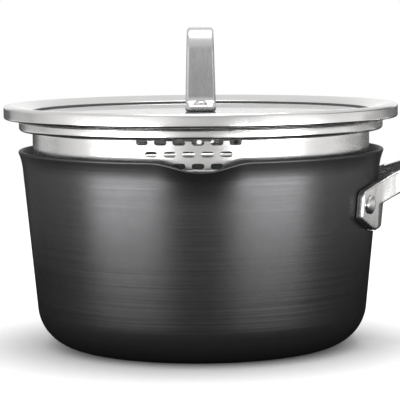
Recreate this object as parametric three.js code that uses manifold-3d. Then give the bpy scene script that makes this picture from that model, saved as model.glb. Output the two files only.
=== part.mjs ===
// A saucepan with a glass strainer lid, in millimetres. +Z is up, the pan's axis is Z and its flat base
// stands at z = 0. The handle points along +X. One pouring spout faces -Y and the other faces +Y.
// The lid is modelled in a group of its own, whose z = 0 is the pan's lip.

import * as THREE from 'three';
import { mergeVertices } from 'three/addons/utils/BufferGeometryUtils.js';
import Module from 'manifold-3d';

const wasm = await Module();
wasm.setup();

// ---- driving dimensions ------------------------------------------------------------------------------

// Between pieces that rest on each other.
const gap = 0.3;
// Straight sides of every round piece.
const sides = 56;

// Pan body
const lipRadius = 108;
const panHeight = 116;
const wall = 3;
const baseThickness = 4;
const cornerRadius = 25;
const wallLean = THREE.MathUtils.degToRad(5.4);
const lipReach = 2.9;
const flareHeight = 11;
const lipRounding = 0.8;

// Pouring spouts
const spoutHalfWidth = 28.5;
const spoutDip = 5.5;
const spoutPull = 6;
const spoutFade = 26;

// Handle. Its heights are drops below the lip.
const footThickness = 4.5;
const footHalfWidth = 57.5;
const footBottomDrop = 46.2;
const footCornerHeight = 8.2;
const footCornerWidth = 20.5;
const footMiddleDrop = 28;
const footWingDrop = 21.5;
const legThickness = 6;
const legHeight = 13.5;
const legRootDrop = 24;
const legSunk = 20;
const legStart = 38;
const legEnd = 15;
const legConvergence = THREE.MathUtils.degToRad(30);
const forkRounding = 5;
const neckLength = 32;
const handleLength = 190;
const gripThickness = 11;
const gripWidth = 23;
const gripEndWidth = 28;
const handleRise = 20;
const handleRiseLength = 42;
const gripSlope = 0.06;
const eyeLength = 20;
const eyeWidth = 9;
const eyeMargin = 9;

// Handle rivets
const rivetAngle = THREE.MathUtils.degToRad(27.3);
const rivetDrop = 29.2;
const rivetHeadRadius = 5.4;
const rivetHeadHeight = 2;
const rivetShankRadius = 3;
const rivetTailRadius = 6.5;
const rivetTailHeight = 1.8;

// Lid rim and glass
const sheet = 1;
const rimOverhang = 7.8;
const rimCrest = 26.3;
const rimCrestInset = 3.8;
const rimRollRadius = 1.9;
const rimDish = 2.3;
const rimBandHeight = 7.7;
const openingInset = 15.5;
const glassThickness = 3;
const sealLip = 0.6;
const sealWall = 0.9;
const sealShow = 0.6;
const seamWidth = 2;

// Strainer band
const shoulderReach = 7.9;
const shoulderBottom = 11.5;
const shoulderCorner = 3.2;
const skirtDepth = 14;
const skirtClearance = 3;
const beadDrop = 8.8;
const beadHalfHeight = 3.2;

// Strainer holes
const slotLength = 7;
const slotHeight = 3.2;
const slotRows = [6, 5, 4];
const topRowHeight = 9.7;
const rowSpacing = 6.5;
const slotPitch = THREE.MathUtils.degToRad(6);
const slotTurn = THREE.MathUtils.degToRad(-4);
const holeDiameter = 3.2;
const holeRows = [7, 6, 5];
const holePitch = THREE.MathUtils.degToRad(4.6);

// Lid knob
const knobHeight = 49.2;
const knobThickness = 4;
const knobTopWidth = 15.2;
const knobFootWidth = 17.6;
const knobTopHalfSpan = 27;
const knobLegHalfSpan = 30;
const knobFootReach = 14;
const knobCorner = 13;
const knobFootBend = 4;
const gasketThickness = 1.2;
const gasketBorder = 0.6;

// Knob screws, back washers and cap nuts
const screwHeadRadius = 3.8;
const screwHeadHeight = 2.2;
const screwShankRadius = 2.2;
const screwHoleClearance = 0.6;
const screwMargin = 2.2;
const washerRadius = 8;
const washerThickness = 1.2;
const nutAcrossCorners = 10;
const nutHeight = 5;
const nutDomeRadius = 4;
const nutDomeHeight = 2;

// ---- materials ---------------------------------------------------------------------------------------

function material(color, roughness, metalness) {
  return new THREE.MeshStandardMaterial({ color, roughness, metalness });
}

const anodised = material(0x3a3a3c, 0.5, 0.6);
const brushedSteel = material(0xc9c9cb, 0.3, 1);
const polishedSteel = material(0xd6d6d8, 0.12, 1);
const clearGlass = material(0xe8efe9, 0.03, 0);
const silicone = material(0x56585a, 0.6, 0);
clearGlass.transparent = true;
clearGlass.opacity = 0.35;

// ---- solids ------------------------------------------------------------------------------------------

// A closed geometry as a solid that can be joined and cut.
function solid(geometry) {
  const bare = geometry.clone();
  bare.deleteAttribute('normal');
  bare.deleteAttribute('uv');
  const merged = mergeVertices(bare, 1e-4);
  const corners = merged.index.array;
  const kept = [];
  for (let i = 0; i < corners.length; i += 3) {
    const [a, b, c] = [corners[i], corners[i + 1], corners[i + 2]];
    if (a !== b && b !== c && c !== a) kept.push(a, b, c);
  }
  return new wasm.Manifold(new wasm.Mesh({
    numProp: 3,
    vertProperties: new Float32Array(merged.attributes.position.array),
    triVerts: new Uint32Array(kept),
  }));
}

// The geometry of a solid, with flat faces.
function geometryOf(body) {
  const cut = body.getMesh();
  const geometry = new THREE.BufferGeometry();
  geometry.setAttribute('position', new THREE.BufferAttribute(new Float32Array(cut.vertProperties), 3));
  geometry.setIndex(new THREE.BufferAttribute(new Uint32Array(cut.triVerts), 1));
  const flat = geometry.toNonIndexed();
  flat.computeVertexNormals();
  return flat;
}

function named(name, geometry, look) {
  const mesh = new THREE.Mesh(geometry, look);
  mesh.name = name;
  return mesh;
}

// A profile of [radius, height] points turned about Z. The profile runs with the material on its left.
function turned(profile, count = sides) {
  const points = profile.map((p) => new THREE.Vector2(Math.max(p.x, 0), p.y));
  const geometry = new THREE.LatheGeometry(points, count);
  geometry.rotateX(Math.PI / 2);
  return geometry;
}

// The same profile closed on itself, for a ring.
function turnedRing(profile, count = sides) {
  return turned([...profile, profile[0]], count);
}

// A flat outline in XY pulled up by a height along Z, from z = 0.
function pulled(outline, height, holes = [], curveSegments = 8) {
  const shape = outline instanceof THREE.Shape ? outline : new THREE.Shape(outline);
  shape.holes.push(...holes);
  return new THREE.ExtrudeGeometry(shape, { depth: height, bevelEnabled: false, curveSegments });
}

function cylinder(radius, bottom, top, count = 24) {
  const geometry = new THREE.CylinderGeometry(radius, radius, top - bottom, count);
  geometry.rotateX(Math.PI / 2);
  geometry.translate(0, 0, (top + bottom) / 2);
  return geometry;
}

// ---- outlines ----------------------------------------------------------------------------------------

const point = (x, y) => new THREE.Vector2(x, y);

// The points of a dome from its edge to its top on the axis, upward or, with a negative height, downward.
function dome(radius, seat, height) {
  const rim = [0, 1, 2].map((i) => i * Math.PI / 6);
  const side = rim.map((angle) => point(radius * Math.cos(angle), seat + height * Math.sin(angle)));
  return [...side, point(0, seat + height)];
}

// The points of a circular arc, both ends included.
function arc(x, y, radius, from, to, steps) {
  const points = [];
  for (let i = 0; i <= steps; i += 1) {
    const angle = from + (to - from) * i / steps;
    points.push(point(x + radius * Math.cos(angle), y + radius * Math.sin(angle)));
  }
  return points;
}

// A line of [x, y, radius] corners, each rounded by an arc of its radius in steps of at most one angle.
function bent(corners, step = Math.PI / 4) {
  const points = [];
  corners.forEach(([x, y, radius = 0], i) => {
    if (radius === 0 || i === 0 || i === corners.length - 1) {
      points.push(point(x, y));
      return;
    }
    const corner = point(x, y);
    const back = point(corners[i - 1][0], corners[i - 1][1]).sub(corner).normalize();
    const ahead = point(corners[i + 1][0], corners[i + 1][1]).sub(corner).normalize();
    const half = Math.acos(THREE.MathUtils.clamp(back.dot(ahead), -1, 1)) / 2;
    const reach = radius / Math.tan(half);
    const start = corner.clone().addScaledVector(back, reach);
    const end = corner.clone().addScaledVector(ahead, reach);
    const centre = corner.clone().addScaledVector(back.clone().add(ahead).normalize(), radius / Math.sin(half));
    const from = Math.atan2(start.y - centre.y, start.x - centre.x);
    let turn = Math.atan2(end.y - centre.y, end.x - centre.x) - from;
    if (turn > Math.PI) turn -= 2 * Math.PI;
    if (turn < -Math.PI) turn += 2 * Math.PI;
    const steps = Math.max(1, Math.ceil(Math.abs(turn) / step - 1e-6));
    points.push(...arc(centre.x, centre.y, radius, from, from + turn, steps));
  });
  return points;
}

// The outline of a strip of even thickness that lies on the right of a line of points.
function strip(line, thickness) {
  const inner = line.map((p, i) => {
    const before = line[Math.max(i - 1, 0)];
    const after = line[Math.min(i + 1, line.length - 1)];
    const along = [p.clone().sub(before), after.clone().sub(p)].filter((v) => v.length() > 0);
    const normals = along.map((v) => point(v.y, -v.x).normalize());
    const middle = normals[0].clone().add(normals[normals.length - 1]).normalize();
    return p.clone().addScaledVector(middle, thickness / middle.dot(normals[0]));
  });
  return [...line, ...inner.reverse()];
}

// A rectangle with round ends or corners, centred on the origin.
function roundedBox(length, width, radius) {
  const x = length / 2 - radius;
  const y = width / 2 - radius;
  const shape = new THREE.Shape();
  shape.absarc(x, y, radius, 0, Math.PI / 2);
  shape.absarc(-x, y, radius, Math.PI / 2, Math.PI);
  shape.absarc(-x, -y, radius, Math.PI, 1.5 * Math.PI);
  shape.absarc(x, -y, radius, 1.5 * Math.PI, 2 * Math.PI);
  return shape;
}

function circleHole(x, y, radius) {
  const hole = new THREE.Path();
  hole.absarc(x, y, radius, 0, 2 * Math.PI);
  return hole;
}

// ---- pan body ----------------------------------------------------------------------------------------

// The straight wall's outer radius, and the flare that carries it out to the lip.
const flareStart = panHeight - flareHeight;
const wallRadius = (z) => lipRadius - lipReach + (z - flareStart) * Math.tan(wallLean);
const flareEnd = panHeight - lipRounding;
const flareReach = lipRadius - wallRadius(flareEnd);

function outerRadius(z) {
  const rise = Math.max(z - flareStart, 0) / (flareEnd - flareStart);
  return wallRadius(z) + flareReach * rise * rise;
}

const innerRadius = (z) => outerRadius(z) - wall / Math.cos(wallLean);

// Half of the pan's section: corner arcs tangent to the base and to the leaning wall, then the flare.
function panProfile() {
  const wallHeights = [0.3, 0.55, 0.8].map((t) => THREE.MathUtils.lerp(cornerRadius, flareStart, t));
  const flareHeights = [0, 0.35, 0.7].map((t) => flareStart + t * flareHeight);
  const heights = [...wallHeights, ...flareHeights, flareEnd];
  const cornerX = wallRadius(cornerRadius) - cornerRadius / Math.cos(wallLean);
  const inside = cornerRadius - wall;
  const floorLift = baseThickness - wall;
  const outer = [
    point(0, 0),
    ...arc(cornerX, cornerRadius, cornerRadius, -Math.PI / 2, -wallLean, 5),
    ...heights.map((z) => point(outerRadius(z), z)),
    point(lipRadius - lipRounding, panHeight),
  ];
  const inner = [
    point(lipRadius - wall + lipRounding, panHeight),
    ...heights.map((z) => point(innerRadius(z), z)).reverse(),
    ...arc(cornerX, cornerRadius, inside, -wallLean, -Math.PI / 2, 5).map((p) => point(
      p.x,
      p.y + floorLift * THREE.MathUtils.clamp((cornerRadius - p.y) / inside, 0, 1),
    )),
    point(0, baseThickness),
  ];
  return [...outer, ...inner];
}

// A spout pulls the lip outward and down, most on its middle line, fading to nothing sideways and downward.
function shapeSpouts(geometry) {
  const place = geometry.attributes.position;
  for (let i = 0; i < place.count; i += 1) {
    const x = place.getX(i);
    const y = place.getY(i);
    const z = place.getZ(i);
    const across = Math.min(Math.abs(x) / spoutHalfWidth, 1);
    const up = THREE.MathUtils.clamp((z - (panHeight - spoutFade)) / spoutFade, 0, 1);
    const share = Math.cos(across * Math.PI / 2) ** 2 * up * up;
    const radius = Math.hypot(x, y);
    if (share > 0 && radius > 0) {
      const stretch = 1 + spoutPull * share / radius;
      place.setXYZ(i, x * stretch, y * stretch, z - spoutDip * share);
    }
  }
}

const rivetHeight = panHeight - rivetDrop;

// Turns a piece that is modelled along Z so that it points out of the wall at the rivet's place.
function toRivet(geometry, side) {
  geometry.rotateY(Math.PI / 2 + wallLean);
  geometry.translate(wallRadius(rivetHeight), 0, rivetHeight);
  geometry.rotateZ(side * rivetAngle);
  return geometry;
}

const rivetSides = { near: -1, far: 1 };

function rivetHole(side) {
  return solid(toRivet(cylinder(rivetShankRadius + gap, -3 * wall, 3 * wall + footThickness), side));
}

function panBody() {
  const shell = turned(panProfile());
  shapeSpouts(shell);
  let body = solid(shell);
  for (const side of Object.values(rivetSides)) body = body.subtract(rivetHole(side));
  return named('pan_body', geometryOf(body), anodised);
}

// ---- handle ------------------------------------------------------------------------------------------

const handleTip = lipRadius + handleLength;
const footBottom = panHeight - footBottomDrop;
const footWingTop = panHeight - footWingDrop;
const footMiddleTop = panHeight - footMiddleDrop;
const legRootHeight = panHeight - legRootDrop;

// The legs' outer faces leave the wall here, legStart away from the handle's middle, and end legEnd away.
const legRootX = wallRadius(rivetHeight);
const legEndX = legRootX + (legStart - legEnd) / Math.tan(legConvergence);

// The middle height of the handle: a steep start that eases into the gentle slope of the grip.
function spineHeight(x) {
  const run = x - legRootX;
  const eased = 1 - Math.exp(-run / handleRiseLength);
  return legRootHeight + handleRise * eased + gripSlope * run;
}

function handleThickness(x) {
  const share = THREE.MathUtils.smoothstep(x, legRootX, legEndX);
  return THREE.MathUtils.lerp(legHeight, gripThickness, share);
}

// The side view, as a band that follows the spine.
function handleSide() {
  const start = legRootX - legSunk;
  const steps = 16;
  const stations = Array.from({ length: steps + 1 }, (_, i) => start + (handleTip + 1 - start) * i / steps);
  const top = stations.map((x) => point(x, spineHeight(x) + handleThickness(x) / 2));
  const bottom = stations.map((x) => point(x, spineHeight(x) - handleThickness(x) / 2));
  return [...bottom, ...top.reverse()];
}

// The top view: two straight legs that run together into the grip, with the fork and the eye left open.
function handlePlan() {
  const slope = Math.tan(legConvergence);
  const start = legRootX - legSunk;
  const startY = legStart + legSunk * slope;
  const neckX = legEndX + neckLength;
  const bendX = legEndX + neckLength / 4;
  const outline = new THREE.Shape();
  outline.moveTo(start, -startY);
  outline.lineTo(legEndX, -legEnd);
  outline.quadraticCurveTo(bendX, -gripWidth / 2, neckX, -gripWidth / 2);
  outline.lineTo(handleTip - gripEndWidth, -gripEndWidth / 2);
  outline.absarc(handleTip - gripEndWidth / 2, 0, gripEndWidth / 2, -Math.PI / 2, Math.PI / 2);
  outline.lineTo(neckX, gripWidth / 2);
  outline.quadraticCurveTo(bendX, gripWidth / 2, legEndX, legEnd);
  outline.lineTo(start, startY);
  const inset = legThickness / Math.cos(legConvergence);
  const apexX = legEndX + (legEnd - inset) / slope;
  const fork = bent([[start, startY - inset], [apexX, 0, forkRounding], [start, inset - startY]]);
  for (const p of fork) outline.lineTo(p.x, p.y);
  const eye = new THREE.Path();
  const eyeEnd = handleTip - eyeMargin - eyeWidth / 2;
  const eyeStart = eyeEnd - eyeLength + eyeWidth;
  eye.absarc(eyeEnd, 0, eyeWidth / 2, -Math.PI / 2, Math.PI / 2);
  eye.absarc(eyeStart, 0, eyeWidth / 2, Math.PI / 2, 1.5 * Math.PI);
  outline.holes.push(eye);
  return outline;
}

// The foot seen from the handle's end, in Y and Z: two wings with cut lower corners and a lower middle.
function footOutline() {
  const legTop = legRootHeight + legHeight / 2;
  const half = [
    point(footHalfWidth - footCornerWidth, footBottom),
    point(footHalfWidth, footBottom + footCornerHeight),
    point(footHalfWidth, footWingTop),
    point(legStart, legTop),
    point(legStart - 1.5 * legThickness, legTop),
    point(legStart - 2 * legThickness, footMiddleTop),
  ];
  return [...half, ...half.map((p) => point(-p.x, p.y)).reverse()];
}

// The ring between two offsets from the pan's straight wall, from a height below the foot to one above it.
function wallRing(inside, outside) {
  const bottom = footBottom - 2 * footCornerHeight;
  const top = panHeight;
  return solid(turnedRing([
    point(wallRadius(bottom) + inside, bottom),
    point(wallRadius(bottom) + outside, bottom),
    point(wallRadius(top) + outside, top),
    point(wallRadius(top) + inside, top),
  ]));
}

function handle() {
  const side = pulled(handleSide(), 4 * footHalfWidth);
  side.rotateX(Math.PI / 2);
  side.translate(0, 2 * footHalfWidth, 0);
  const plan = pulled(handlePlan(), 2 * panHeight);
  const front = pulled(footOutline(), 2 * lipRadius);
  front.rotateX(Math.PI / 2);
  front.rotateZ(Math.PI / 2);
  const clear = gap / Math.cos(wallLean);
  const foot = wallRing(clear, clear + footThickness).intersect(solid(front));
  let body = solid(side).intersect(solid(plan)).add(foot);
  body = body.subtract(wallRing(-wallRadius(footBottom) / 2, clear));
  for (const rivetSide of Object.values(rivetSides)) body = body.subtract(rivetHole(rivetSide));
  return named('handle', geometryOf(body), brushedSteel);
}

// A rivet along Z, whose z = 0 is the pan's outer face: a domed head outside and a low dome inside.
function rivet(name, side) {
  const headSeat = gap + footThickness + gap;
  const tailSag = rivetTailRadius ** 2 / (2 * innerRadius(rivetHeight));
  const tailSeat = -wall - gap - tailSag;
  const profile = [
    ...dome(rivetTailRadius, tailSeat, -rivetTailHeight).reverse(),
    point(rivetShankRadius, tailSeat),
    point(rivetShankRadius, headSeat),
    ...dome(rivetHeadRadius, headSeat, rivetHeadHeight),
  ];
  return named(name, toRivet(turned(profile, 18), side), polishedSteel);
}

// ---- lid ---------------------------------------------------------------------------------------------

// Heights in the lid, from the rim's opening downward through the glass to the strainer band's top.
const openingTop = rimCrest - rimDish;
const sealTop = openingTop - sheet - gap;
const glassTop = sealTop - sealLip - gap;
const glassBottom = glassTop - glassThickness;
const sealBottom = glassBottom - gap - sealLip;
const shoulderTop = sealBottom - gap;
const rimBottom = rimCrest - rimBandHeight;

// Radii in the lid. The rim's inner edge is welded to the strainer band along a narrow seam.
const rimRadius = lipRadius + rimOverhang;
const rimCrestRadius = rimRadius - rimCrestInset;
const openingRadius = rimRadius - openingInset;
const skirtRadius = innerRadius(flareStart) - skirtClearance;
const shoulderRadius = skirtRadius + shoulderReach;
const sealRadius = shoulderRadius - sheet - seamWidth;
const glassRadius = sealRadius - sealWall - gap;

// The rim: dished from its crest down to the glass, rolled over at its outer edge and turned in below.
function lidRim() {
  const line = bent([
    [openingRadius, openingTop],
    [rimCrestRadius, rimCrest, 3],
    [rimRadius, rimCrest, rimRollRadius],
    [rimRadius, rimBottom, 2.5],
    [sealRadius + 2 * gap, shoulderTop + gap],
  ]);
  return named('lid_rim', turnedRing(strip(line, sheet).reverse()), polishedSteel);
}

// The silicone channel around the edge of the glass.
function glassSeal() {
  const inside = openingRadius - sealShow;
  const profile = [
    point(inside, sealBottom),
    point(sealRadius, sealBottom),
    point(sealRadius, sealTop),
    point(inside, sealTop),
    point(inside, glassTop + gap),
    point(glassRadius + gap, glassTop + gap),
    point(glassRadius + gap, glassBottom - gap),
    point(inside, glassBottom - gap),
  ];
  return named('glass_seal', turnedRing(profile), silicone);
}

// Where the knob's two screws pass through the lid.
const footTipY = knobLegHalfSpan + knobThickness / 2 + knobFootReach;
const screwY = footTipY - screwMargin - screwHeadRadius;
const screwSides = { front: -1, back: 1 };
const screwHoleRadius = screwShankRadius + screwHoleClearance;

function glassPanel() {
  let body = solid(turned([
    point(0, glassBottom),
    point(glassRadius, glassBottom),
    point(glassRadius, glassTop),
    point(0, glassTop),
  ]));
  for (const side of Object.values(screwSides)) {
    const hole = cylinder(screwHoleRadius, glassBottom - 1, glassTop + 1);
    hole.translate(0, side * screwY, 0);
    body = body.subtract(solid(hole));
  }
  return named('glass_panel', geometryOf(body), clearGlass);
}

// A piece pulled along Z, set to cut through the skirt at an angle from the -Y direction.
function throughSkirt(geometry, angle, height) {
  geometry.translate(0, 0, -3);
  geometry.rotateX(Math.PI / 2);
  geometry.translate(0, -skirtRadius, height);
  geometry.rotateZ(angle);
  return solid(geometry);
}

// Rows of openings, each row centred on the same angle, so that rows with one opening less are staggered.
function openings(rows, pitch, centre, makeOutline) {
  const cuts = [];
  rows.forEach((count, row) => {
    const height = topRowHeight - row * rowSpacing;
    for (let i = 0; i < count; i += 1) {
      const angle = centre + (i - (count - 1) / 2) * pitch;
      cuts.push(throughSkirt(pulled(makeOutline(), 6, [], 4), angle, height));
    }
  });
  return cuts;
}

// The strainer band: a shoulder under the glass seal, then the perforated skirt with the bead that sits
// on the pan's flare. The bead reaches the pan's inner face less the gap.
function strainerBand() {
  const beadReach = innerRadius(panHeight - beadDrop) - gap - skirtRadius;
  const bead = [-1, -0.3, 0.3, 1].map((t) => point(
    skirtRadius + beadReach * Math.cos(t * Math.PI / 2),
    -beadDrop - t * beadHalfHeight,
  ));
  const line = [
    ...bent([
      [openingRadius, shoulderTop],
      [shoulderRadius, shoulderTop, 1.6],
      [shoulderRadius, shoulderBottom, shoulderCorner],
      [skirtRadius, shoulderBottom, 1.4],
      [skirtRadius, shoulderBottom - 2 * sheet],
    ]),
    ...bead,
    point(skirtRadius, -skirtDepth),
  ];
  let body = solid(turnedRing(strip(line, sheet).reverse()));
  const slots = openings(slotRows, slotPitch, slotTurn, () => roundedBox(slotLength, slotHeight, slotHeight / 2));
  const holes = openings(holeRows, holePitch, Math.PI + slotTurn, () => {
    const circle = new THREE.Shape();
    circle.absarc(0, 0, holeDiameter / 2, 0, 2 * Math.PI);
    return circle;
  });
  for (const cut of [...slots, ...holes]) body = body.subtract(cut);
  return named('strainer_band', geometryOf(body), brushedSteel);
}

// ---- lid knob ----------------------------------------------------------------------------------------

const gasketBottom = glassTop + gap;
const gasketTop = gasketBottom + gasketThickness;
const footFloor = gasketTop + gap;
const knobTop = glassTop + knobHeight;

// The strap in the YZ plane: foot, leg, top, leg, foot, bent from one flat bar and wider at its feet.
function lidKnob() {
  const footTop = footFloor + knobThickness;
  const half = [
    [footTipY, footTop],
    [knobLegHalfSpan + knobThickness / 2, footTop, knobFootBend],
    [knobTopHalfSpan + knobThickness / 2, knobTop, knobCorner],
  ];
  const line = bent([...half.map(([y, z, r]) => [-y, z, r]), ...half.reverse()], Math.PI / 12);
  const strap = pulled(strip(line, knobThickness), knobTopWidth);
  strap.translate(0, 0, -knobTopWidth / 2);
  strap.rotateX(Math.PI / 2);
  strap.rotateZ(Math.PI / 2);
  const place = strap.attributes.position;
  for (let i = 0; i < place.count; i += 1) {
    const down = (knobTop - place.getZ(i)) / (knobTop - footFloor);
    place.setX(i, place.getX(i) * THREE.MathUtils.lerp(1, knobFootWidth / knobTopWidth, down));
  }
  let body = solid(strap);
  for (const side of Object.values(screwSides)) {
    const hole = cylinder(screwShankRadius + gap, footFloor - 1, footTop + 1);
    hole.translate(0, side * screwY, 0);
    body = body.subtract(solid(hole));
  }
  return named('lid_knob', geometryOf(body), brushedSteel);
}

// What fixes one foot of the knob: the screw, the gasket above the glass, the washer and the nut below it.
function footFixing(label, side) {
  const y = side * screwY;
  const headSeat = footFloor + knobThickness + gap;
  const washerTop = glassBottom - gap;
  const washerBottom = washerTop - washerThickness;
  const nutTop = washerBottom - gap;
  const nutBottom = nutTop - nutHeight;
  const shankEnd = nutBottom + gap;

  const screwProfile = [
    point(0, shankEnd),
    point(screwShankRadius, shankEnd),
    point(screwShankRadius, headSeat),
    ...dome(screwHeadRadius, headSeat, screwHeadHeight),
  ];
  const screw = named(`knob_screw_${label}`, turned(screwProfile, 16), polishedSteel);

  const gasketOutline = roundedBox(knobFootWidth + 2 * gasketBorder, knobFootReach + 2 * gasketBorder, 2.5);
  const gasketHole = circleHole(0, 0, screwHoleRadius);
  const gasket = named(
    `knob_gasket_${label}`,
    pulled(gasketOutline, gasketThickness, [gasketHole], 4).translate(0, 0, gasketBottom),
    silicone,
  );

  const washer = named(`back_washer_${label}`, turnedRing([
    point(screwHoleRadius, washerBottom),
    point(washerRadius, washerBottom),
    point(washerRadius, washerTop),
    point(screwHoleRadius, washerTop),
  ], 24), silicone);

  const hexagon = new THREE.Shape(arc(0, 0, nutAcrossCorners / 2, 0, 2 * Math.PI, 6).slice(0, 6));
  const prism = solid(pulled(hexagon, nutHeight).translate(0, 0, nutBottom));
  const capProfile = dome(nutDomeRadius, nutBottom, -nutDomeHeight).reverse();
  const cap = solid(turned([...capProfile, point(nutDomeRadius, nutTop - 1), point(0, nutTop - 1)], 20));
  const thread = solid(cylinder(screwShankRadius + gap, nutBottom, nutTop + 1));
  const nut = named(`cap_nut_${label}`, geometryOf(prism.add(cap).subtract(thread)), polishedSteel);

  const group = new THREE.Group();
  group.add(screw, gasket, washer, nut);
  group.position.y = y;
  return group;
}

// ---- scene -------------------------------------------------------------------------------------------

const pan = new THREE.Group();
pan.add(panBody(), handle());
for (const [label, side] of Object.entries(rivetSides)) pan.add(rivet(`handle_rivet_${label}`, side));

const lid = new THREE.Group();
lid.add(lidRim(), glassSeal(), glassPanel(), strainerBand(), lidKnob());
for (const [label, side] of Object.entries(screwSides)) lid.add(footFixing(label, side));
lid.position.z = panHeight;

const saucepan = new THREE.Group();
saucepan.add(pan, lid);

export default saucepan;
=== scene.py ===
"""A saucepan in hard-anodised aluminium with a steel-rimmed glass strainer lid.

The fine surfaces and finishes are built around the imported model. Shapes are worked out in millimetres and
turned to metres when they become meshes. The pan's axis is Z, its base stands at z = 0, the handle points
along +X and one pouring spout faces -Y.
"""

import math

import bpy
import numpy as np
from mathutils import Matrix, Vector
from mathutils.geometry import delaunay_2d_cdt


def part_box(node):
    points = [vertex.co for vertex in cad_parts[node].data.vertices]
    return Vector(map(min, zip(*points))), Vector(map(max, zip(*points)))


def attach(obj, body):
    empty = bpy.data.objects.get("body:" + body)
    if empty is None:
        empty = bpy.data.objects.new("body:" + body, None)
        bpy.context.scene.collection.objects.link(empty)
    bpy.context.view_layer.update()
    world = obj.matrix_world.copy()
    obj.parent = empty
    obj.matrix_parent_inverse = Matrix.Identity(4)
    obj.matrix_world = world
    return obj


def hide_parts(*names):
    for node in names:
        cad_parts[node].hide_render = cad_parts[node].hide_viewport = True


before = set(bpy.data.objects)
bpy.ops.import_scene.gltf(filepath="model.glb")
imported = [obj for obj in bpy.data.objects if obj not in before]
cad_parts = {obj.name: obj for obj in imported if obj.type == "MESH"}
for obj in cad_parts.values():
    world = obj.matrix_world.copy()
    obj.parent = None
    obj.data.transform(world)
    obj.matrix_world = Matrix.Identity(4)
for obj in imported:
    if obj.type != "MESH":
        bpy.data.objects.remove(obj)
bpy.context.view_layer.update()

MM = 0.001
TAU = 2 * np.pi
TINY = 1e-6


def box_mm(node):
    """A node's lowest and highest corner in millimetres."""
    low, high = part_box(node)
    return np.array(low) / MM, np.array(high) / MM


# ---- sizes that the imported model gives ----

PAN_HIGH = box_mm("pan_body")[1]
RIM_HIGH = box_mm("lid_rim")[1]
BAND_LOW, BAND_HIGH = box_mm("strainer_band")
SEAL_LOW, SEAL_HIGH = box_mm("glass_seal")
GLASS_LOW, GLASS_HIGH = box_mm("glass_panel")
HANDLE_HIGH = box_mm("handle")[1]
KNOB_LOW, KNOB_HIGH = box_mm("lid_knob")
SCREW_LOW, SCREW_HIGH = box_mm("knob_screw_back")
GASKET_LOW, GASKET_HIGH = box_mm("knob_gasket_back")
WASHER_LOW, WASHER_HIGH = box_mm("back_washer_back")
NUT_LOW, NUT_HIGH = box_mm("cap_nut_back")

LIP_RADIUS = PAN_HIGH[0]
PAN_HEIGHT = PAN_HIGH[2]
SPOUT_PULL = PAN_HIGH[1] - LIP_RADIUS

# ---- sizes that the boxes don't hold, in millimetres ----

GAP = 0.3
TOUCH = 0.05

WALL = 3.0
BASE_THICKNESS = 4.0
CORNER_RADIUS = 25.0
WALL_LEAN = math.radians(5.4)
LIP_REACH = 2.9
FLARE_HEIGHT = 11.0
SPOUT_HALF_WIDTH = 28.5
SPOUT_DIP = 5.5
SPOUT_FADE = 26.0

FOOT_THICKNESS = 4.5
FOOT_MIDDLE_THINNING = 0.5
FOOT_HALF_WIDTH = 57.5
FOOT_BOTTOM = PAN_HEIGHT - 46.2
FOOT_CORNER_HEIGHT = 8.2
FOOT_MIDDLE_TOP = PAN_HEIGHT - 28.0
FOOT_WING_TOP = PAN_HEIGHT - 21.5
LEG_THICKNESS = 6.0
LEG_HEIGHT = 13.5
LEG_ROOT_HEIGHT = PAN_HEIGHT - 24.0
LEG_START = 38.0
LEG_END = 15.0
LEG_CONVERGENCE = math.radians(30.0)
FORK_ROUNDING = 5.0
NECK_LENGTH = 32.0
GRIP_THICKNESS = 11.0
GRIP_WIDTH = 23.0
GRIP_END_WIDTH = 28.0
HANDLE_RISE = 20.0
HANDLE_RISE_LENGTH = 42.0
GRIP_SLOPE = 0.06
HANDLE_EDGE = 1.1
STRAP_EDGE = 0.9
EYE_LENGTH = 20.0
EYE_WIDTH = 9.0
EYE_MARGIN = 9.0

RIVET_ANGLE = math.radians(27.3)
RIVET_HEIGHT = PAN_HEIGHT - 29.2
RIVET_HEAD_RADIUS = 5.4
RIVET_HEAD_HEIGHT = 2.0
RIVET_TAIL_RADIUS = 6.5
RIVET_TAIL_HEIGHT = 1.8
RIVET_SHANK_RADIUS = 3.0

SHEET = 1.0
RIM_SHEET = 0.7
RIM_CREST_RADIUS = 112.0
RIM_BAND_HEIGHT = 7.7
SEAL_LIP = 0.35
SEAL_WALL = 0.9
SEAL_SHOW = 0.3
SEAL_SLACK = 0.02
RIM_CREST_ROUNDING = 3.0
RIM_ROLL = 1.9
RIM_LOWER_ROLL = 1.3
OPENING_RADIUS = 100.3
SHOULDER_BOTTOM = 11.5
SHOULDER_CORNER = 1.9
SHOULDER_TOP_CORNER = 1.6
SKIRT_ROOT_ROUNDING = 1.2
SKIRT_CLEARANCE = 3.0
BEAD_DROP = 8.8
BEAD_HALF_HEIGHT = 3.2

GLASS_RAISE = 0.25
GLASS_EDGE_ROUNDING = 0.8
GLASS_TOP = GLASS_HIGH[2] + GLASS_RAISE
OPENING_UNDERSIDE = GLASS_TOP + SEAL_LIP + 0.03

SLOT_LENGTH = 7.0
SLOT_HEIGHT = 3.2
SLOT_ROWS = (6, 5, 4)
TOP_ROW_HEIGHT = 9.7
ROW_SPACING = 6.5
SLOT_PITCH = math.radians(6.0)
SLOT_TURN = math.radians(-4.0)
HOLE_DIAMETER = 3.2
HOLE_ROWS = (7, 6, 5)
HOLE_PITCH = math.radians(4.6)

KNOB_THICKNESS = 4.0
KNOB_TOP_WIDTH = 15.2
KNOB_TOP_HALF_SPAN = 27.0
KNOB_LEG_HALF_SPAN = 30.0
KNOB_CORNER = 13.0
KNOB_FOOT_BEND = 4.0
KNOB_FOOT_CORNER = 3.0
KNOB_EDGE = 1.8
SCREW_SHANK_RADIUS = 2.2
GASKET_INSET = 0.9
GASKET_CORNER = 2.5
WASHER_HOLE_RADIUS = 2.8
NUT_CAP_HEIGHT = 2.0
NUT_CAP_RADIUS = 4.0


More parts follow.
